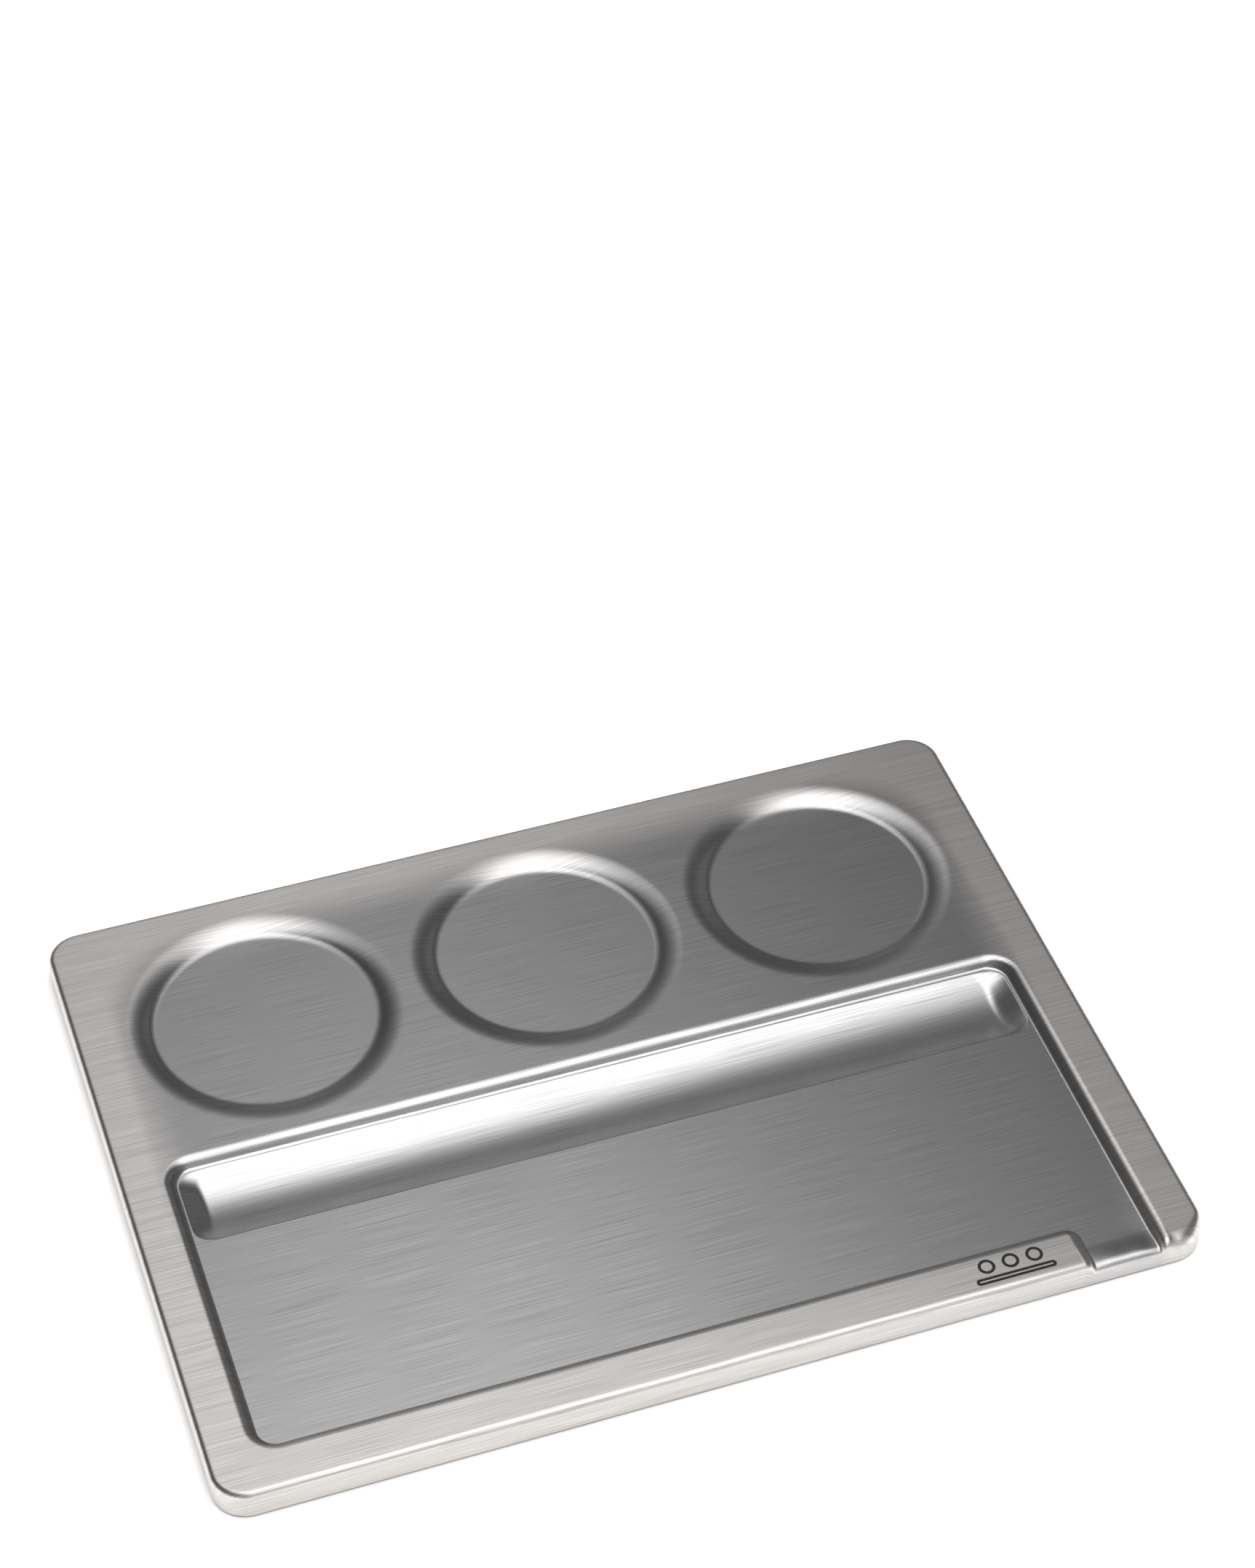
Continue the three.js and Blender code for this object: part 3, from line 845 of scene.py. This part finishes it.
class SORTING_TRAY_OT_pressing(bpy.types.Operator):
    """Build the pressed sheet: skirt, rim, seats, work area, trough and spout"""

    bl_idname = "sorting_tray.pressing"
    bl_label = "Pressed Tray"

    def execute(self, context):
        sizes = context.scene.tray_pressing
        plan = TrayPlan(sizes)
        mesh = plan.mesh("tray_sheet")
        add_skirt(mesh, plan)
        co = np.zeros(len(mesh.vertices) * 3, np.float32)
        mesh.vertices.foreach_get("co", co)
        x, y, _ = co.reshape(-1, 3).astype(float).T
        down = np.zeros(len(mesh.vertices), np.float32)
        mesh.attributes["skirt_down"].data.foreach_get("value", down)
        for name in ("edge_in", "rim_in", "seat_in", "work_in", "trough_in"):
            near = getattr(plan, name)(x, y)
            if name == "rim_in":  # the rim's roughness and painted sheen fade on the skirt as well, so the skirt is painted darker than the rim, a painted shade
                near = near + RIM_ROUGHNESS_AND_SHEEN_ON_SKIRT * (down > 0)
            layer = mesh.attributes.new(name, "FLOAT", "POINT")
            layer.data.foreach_set("value", near.astype(np.float32))
        piece = link_object("tray_sheet", mesh)
        run_tree(
            piece, press_tree(),
            {
                "Steel": brushed_stainless_steel(context.scene.tray_colours),
                "Top": TRAY_HIGH.z,
                "Skirt Foot": TRAY_LOW.z,
                "Edge Roll": sizes.edge_roll,
                "Seat Depth": plan.seat_depth,
                "Seat Fillet": sizes.seat_fillet,
                "Seat Roll": sizes.seat_roll,
                "Work Depth": sizes.work_depth,
                "Work Fillet": sizes.work_fillet,
                "Work Roll": sizes.work_roll,
                "Half Spout": sizes.spout_width / 2,
                "Trough Middle": plan.trough_middle,
                "Trough Radius": plan.trough_radius,
                "Trough Depth": sizes.trough_depth,
                "Trough End": sizes.trough_end,
                "Lip Crest": sizes.lip_crest,
                "Lip Ease": sizes.lip_ease,
                "Lip Start": plan.lip_start,
                "Lip End": plan.lip_end,
                "Corner Ease": sizes.corner_ease,
                "Work Right": plan.work_right,
            },
        )
        sheet = piece.modifiers.new("sheet", "SOLIDIFY")
        sheet.thickness = sizes.sheet
        sheet.offset = -1.0
        made = settle(piece)
        made.shade_smooth()
        made.set_sharp_from_angle(angle=SHARP_ANGLE)
        for name in ("edge_in", "seat_in", "work_in", "trough_in", "skirt_down"):
            layer = made.attributes.get(name)
            if layer:
                made.attributes.remove(layer)
        finish_piece(piece, "brushed_steel", "pressed_tray")
        return {"FINISHED"}


class SORTING_TRAY_OT_mark(bpy.types.Operator):
    """Print a plain pictogram of the tray on the front rim, beside the spout"""

    bl_idname = "sorting_tray.mark"
    bl_label = "Printed Mark"

    def execute(self, context):
        colours = context.scene.tray_colours
        low = TRAY_HIGH.z + MARK_GAP
        high = low + MARK_THICKNESS
        form = bmesh.new()

        def print_band(outer, inner):
            """One closed ring of ink between two outlines with the same number of points."""
            count = len(outer)
            rows = [
                [form.verts.new((MARK_PLACE.x + x, MARK_PLACE.y + y, z)) for x, y in line]
                for line, z in ((outer, low), (outer, high), (inner, high), (inner, low))
            ]
            for a, b in zip(rows, rows[1:] + rows[:1]):
                for i in range(count):
                    j = (i + 1) % count
                    form.faces.new((a[i], a[j], b[j], b[i]))

        def bar_line(half_x, half_y, radius):
            line = []
            for i, (sx, sy) in enumerate(((1, 1), (-1, 1), (-1, -1), (1, -1))):
                centre = (sx * (half_x - radius), sy * (half_y - radius) - BAR_DOWN)
                line += arc(centre, radius, 90 * i, 90 * i + 90, 8)
            return line

        for step in (-1, 0, 1):
            spot = (step * RING_PITCH, RING_UP)
            print_band(*(arc(spot, radius, 0, 360, 48)[:-1] for radius in (RING_OUTER, RING_INNER)))
        print_band(bar_line(12 * MM, 1.1 * MM, 1.05 * MM), bar_line(11.1 * MM, 0.25 * MM, 0.2 * MM))
        mesh = bpy.data.meshes.new("printed_mark")
        bmesh.ops.recalc_face_normals(form, faces=form.faces)
        form.to_mesh(mesh)
        form.free()
        piece = link_object("printed_mark", mesh)
        mesh.materials.append(printed_ink(colours))
        finish_piece(piece, None)
        return {"FINISHED"}


class SORTING_TRAY_OT_feet(bpy.types.Operator):
    """Stand the tray on four rubber feet with their tape discs"""

    bl_idname = "sorting_tray.feet"
    bl_label = "Feet"

    def execute(self, context):
        colours = context.scene.tray_colours
        radius = (FOOT_HIGH.x - FOOT_LOW.x) / 2
        toe, bevel = radius - 0.6 * MM, 0.5 * MM
        height = FOOT_HIGH.z
        # From the shallow hollow in the sole, round its edge, and up the slightly tapered side
        profile = [(0, 0.25 * MM), (toe - 1.8 * MM, 0.25 * MM), (toe - 1.5 * MM, 0)]
        profile += [
            (toe - bevel + bevel * math.sin(t), bevel - bevel * math.cos(t))
            for t in np.radians(np.linspace(0, 90, 7))
        ]
        profile += [
            (radius - 0.2 * MM, height * 0.62),
            (radius - 0.05 * MM, height - 0.9 * MM),
            (radius, height - 0.6 * MM),
            (radius, height - 0.15 * MM),
            (radius - 0.15 * MM, height),
            (0, height),
        ]
        foot = turned_mesh("rubber_feet", profile, 48)
        feet = place_at_corners("rubber_feet", foot, moulded_rubber(colours))
        finish_piece(feet, "foot_rubber", *("foot_" + corner for corner in CORNERS))

        radius = (TAPE_HIGH.x - TAPE_LOW.x) / 2
        low, high, ease = TAPE_LOW.z, TAPE_HIGH.z, 0.06 * MM
        profile = [(0, low), (radius - ease, low), (radius, low + ease), (radius, high - ease),
                   (radius - ease, high), (0, high)]
        disc = turned_mesh("tape_discs", profile, 48)
        tapes = place_at_corners("tape_discs", disc, foam_tape(colours))
        finish_piece(tapes, "tape", *("foot_tape_" + corner for corner in CORNERS))
        return {"FINISHED"}


class SORTING_TRAY_OT_stage(bpy.types.Operator):
    """Lay the floor, hang the lights and set up the camera"""

    bl_idname = "sorting_tray.stage"
    bl_label = "Stage"

    def execute(self, context):
        settings = context.scene.tray_stage
        scene = context.scene
        form = bmesh.new()
        bmesh.ops.create_circle(form, cap_ends=True, radius=6.0, segments=64)
        mesh = bpy.data.meshes.new("floor")
        form.to_mesh(mesh)
        form.free()
        mesh.materials.append(matt_floor(settings))
        floor = link_object("floor", mesh)

        def area_light(name, place, aim, size, power):
            light = bpy.data.lights.new(name, "AREA")
            light.shape = "RECTANGLE"
            light.size, light.size_y = size
            light.energy = power
            lamp = bpy.data.objects.new(name, light)
            scene.collection.objects.link(lamp)
            lamp.location = place
            lamp.rotation_euler = (Vector(aim) - Vector(place)).to_track_quat("-Z", "Y").to_euler()
            return lamp

        whole = sum(wide * long for _, wide, long in SOFTBOX_SHEETS.values())
        for name, (height, wide, long) in SOFTBOX_SHEETS.items():
            softbox = area_light(
                "softbox_" + name, (*SOFTBOX_PLACE, height), (*SOFTBOX_PLACE, 0), (wide, long),
                settings.softbox_power * wide * long / whole,
            )
            softbox.rotation_euler.z = SOFTBOX_TURN
        area_light("panel_right", PANEL_PLACE, (0, 0, 0), PANEL_SIZE, settings.panel_power)

        world = bpy.data.worlds.new("studio")
        world.use_nodes = True
        tree = world.node_tree
        tree.nodes.clear()
        path = add_node(tree, "ShaderNodeLightPath")
        way = add_node(tree, "ShaderNodeTexCoord")
        way = add_node(tree, "ShaderNodeSeparateXYZ", None, {0: way.outputs["Generated"]})
        room = add_node(
            tree, "ShaderNodeMapRange", None,
            {"Value": way.outputs["Z"], "From Min": 0.5, "To Max": ROOM_TOP},
        )
        gloss = add_node(
            tree, "ShaderNodeMapRange", None,
            {"Value": way.outputs["Y"], "From Min": -0.2, "From Max": -0.8, "To Min": ROOM_DARK,
             "To Max": ROOM_FRONT},
        )
        glossy = add_node(
            tree, "ShaderNodeMix", {"data_type": "RGBA"},
            {"Factor": path.outputs["Is Glossy Ray"], 6: room.outputs["Result"],
             7: gloss.outputs["Result"]},
        )
        seen = add_node(
            tree, "ShaderNodeMix", {"data_type": "RGBA"},
            {"Factor": path.outputs["Is Camera Ray"], 6: glossy.outputs[2], 7: BACKDROP},
        )
        sky = add_node(tree, "ShaderNodeBackground", None, {"Color": seen.outputs[2], "Strength": 1.0})
        add_node(tree, "ShaderNodeOutputWorld", None, {"Surface": sky})
        world.cycles.sampling_method = "NONE"  # so that the steel sees only its own, dim room
        scene.world = world

        data = bpy.data.cameras.new("camera")
        data.lens = settings.focal_length * 1000
        data.sensor_width = 36
        data.clip_start, data.clip_end = 0.01, 30
        camera = bpy.data.objects.new("camera", data)
        scene.collection.objects.link(camera)
        back = Vector((
            math.sin(CAMERA_AZIMUTH) * math.cos(CAMERA_ELEVATION),
            -math.cos(CAMERA_AZIMUTH) * math.cos(CAMERA_ELEVATION),
            math.sin(CAMERA_ELEVATION),
        ))
        camera.location = CAMERA_AIM + back * CAMERA_DISTANCE
        camera.rotation_euler = (-back).to_track_quat("-Z", "Y").to_euler()
        scene.camera = camera
        scene.view_settings.view_transform = "Standard"
        return {"FINISHED"}


class SORTING_TRAY_PT_panel(bpy.types.Panel):
    """Sizes, colours and pieces of the sorting tray"""

    bl_idname = "SORTING_TRAY_PT_panel"
    bl_label = "Sorting Tray"
    bl_space_type = "VIEW_3D"
    bl_region_type = "UI"
    bl_category = "Sorting Tray"

    def draw(self, context):
        layout = self.layout
        for group in SETTINGS:
            settings = getattr(context.scene, group)
            box = layout.box()
            for name in settings.__annotations__:
                box.prop(settings, name)
        for operator in PIECES:
            layout.operator(operator.bl_idname)


PIECES = (
    SORTING_TRAY_OT_pressing,
    SORTING_TRAY_OT_mark,
    SORTING_TRAY_OT_feet,
    SORTING_TRAY_OT_stage,
)
SETTINGS = {
    "tray_pressing": PressingSizes,
    "tray_colours": FinishColours,
    "tray_stage": StageSettings,
}


def register():
    for kind in (*SETTINGS.values(), *PIECES, SORTING_TRAY_PT_panel):
        bpy.utils.register_class(kind)
    for name, kind in SETTINGS.items():
        setattr(bpy.types.Scene, name, PointerProperty(type=kind))


def unregister():
    for name in SETTINGS:
        delattr(bpy.types.Scene, name)
    for kind in reversed((*SETTINGS.values(), *PIECES, SORTING_TRAY_PT_panel)):
        bpy.utils.unregister_class(kind)


def main():
    register()
    bpy.ops.sorting_tray.pressing()
    bpy.ops.sorting_tray.mark()
    bpy.ops.sorting_tray.feet()
    bpy.ops.sorting_tray.stage()


if __name__ == "__main__":
    main()
